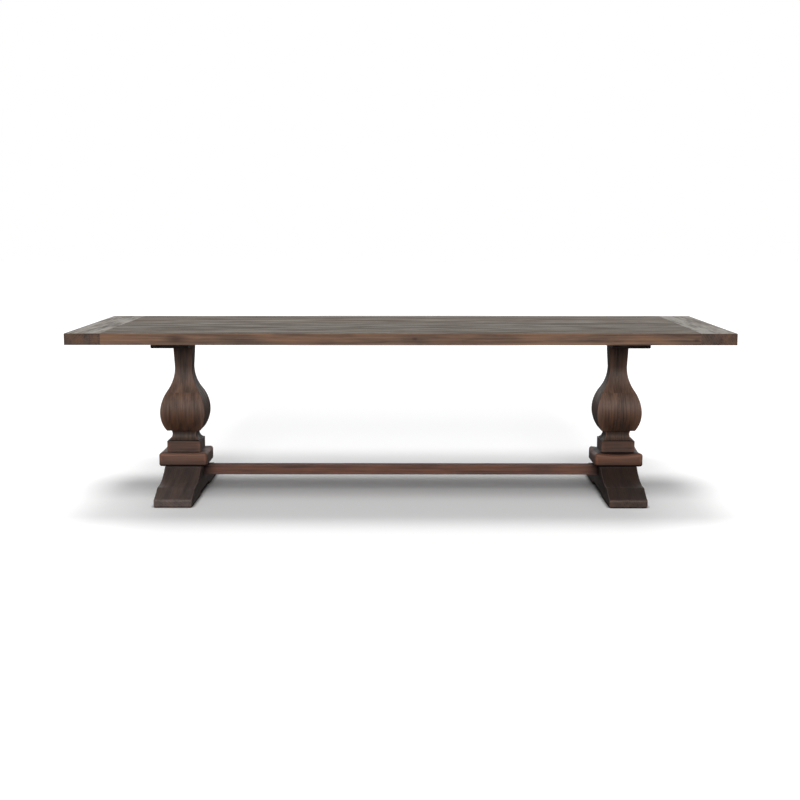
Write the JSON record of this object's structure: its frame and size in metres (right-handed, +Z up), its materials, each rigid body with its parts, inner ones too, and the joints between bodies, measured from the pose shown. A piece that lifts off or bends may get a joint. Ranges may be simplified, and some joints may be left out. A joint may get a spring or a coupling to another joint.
{
  "type": "trestle dining table",
  "caption": "Long trestle dining table: planked top with breadboard ends on square vase balusters and shaped sled feet, tied by a low stretcher.",
  "frame": {"origin": "on the floor, under the middle of the table", "axes": "+X along the table's length, +Y from front to back across its width, +Z up"},
  "size_m": [2.8, 1, 0.76],
  "materials": {
    "top_wood": "reclaimed pine, brushed, brown stain under a grey wash, dull wax",
    "baluster_wood": "glued pine billets, dark brown stain, dull wax",
    "plinth_wood": "pine block, reddish brown stain, dull wax",
    "foot_wood": "pine block, dark brown stain, dull wax",
    "stretcher_wood": "pine rail, reddish brown stain, dull wax",
    "bearer_wood": "pine board, dark brown stain, unwaxed",
    "inner_wood": "bare beech dowel and spline stock",
    "zinc_steel": "bright zinc plated steel",
    "glide_nylon": "black nylon"
  },
  "bodies": {
    "root": {"top_plank_1": "top_wood", "top_plank_2": "top_wood", "top_plank_3": "top_wood", "top_plank_4": "top_wood", "top_plank_5": "top_wood", "top_plank_6": "top_wood", "plank_spline_1": "inner_wood", "plank_spline_2": "inner_wood", "plank_spline_3": "inner_wood", "plank_spline_4": "inner_wood", "plank_spline_5": "inner_wood", "breadboard_pegs": "inner_wood", "breadboard_end_left": "top_wood", "top_bearer_left": "bearer_wood", "bearer_screws_left": "zinc_steel", "left_baluster_front_right": "baluster_wood", "left_baluster_back_right": "baluster_wood", "left_baluster_back_left": "baluster_wood", "left_baluster_front_left": "baluster_wood", "left_die_block": "plinth_wood", "left_plinth": "plinth_wood", "left_foot": "foot_wood", "left_bearer_dowels": "inner_wood", "left_baluster_dowels": "inner_wood", "left_foot_dowels": "inner_wood", "left_tie_rod": "zinc_steel", "breadboard_end_right": "top_wood", "top_bearer_right": "bearer_wood", "bearer_screws_right": "zinc_steel", "right_baluster_front_right": "baluster_wood", "right_baluster_back_right": "baluster_wood", "right_baluster_back_left": "baluster_wood", "right_baluster_front_left": "baluster_wood", "right_die_block": "plinth_wood", "right_plinth": "plinth_wood", "right_foot": "foot_wood", "right_bearer_dowels": "inner_wood", "right_baluster_dowels": "inner_wood", "right_foot_dowels": "inner_wood", "right_tie_rod": "zinc_steel", "tie_rod_nuts": "zinc_steel", "tie_rod_washers": "zinc_steel", "stretcher": "stretcher_wood", "stretcher_bolts": "zinc_steel", "stretcher_barrel_nuts": "zinc_steel", "floor_glides": "glide_nylon", "glide_screws": "zinc_steel"}
  },
  "joints": []
}
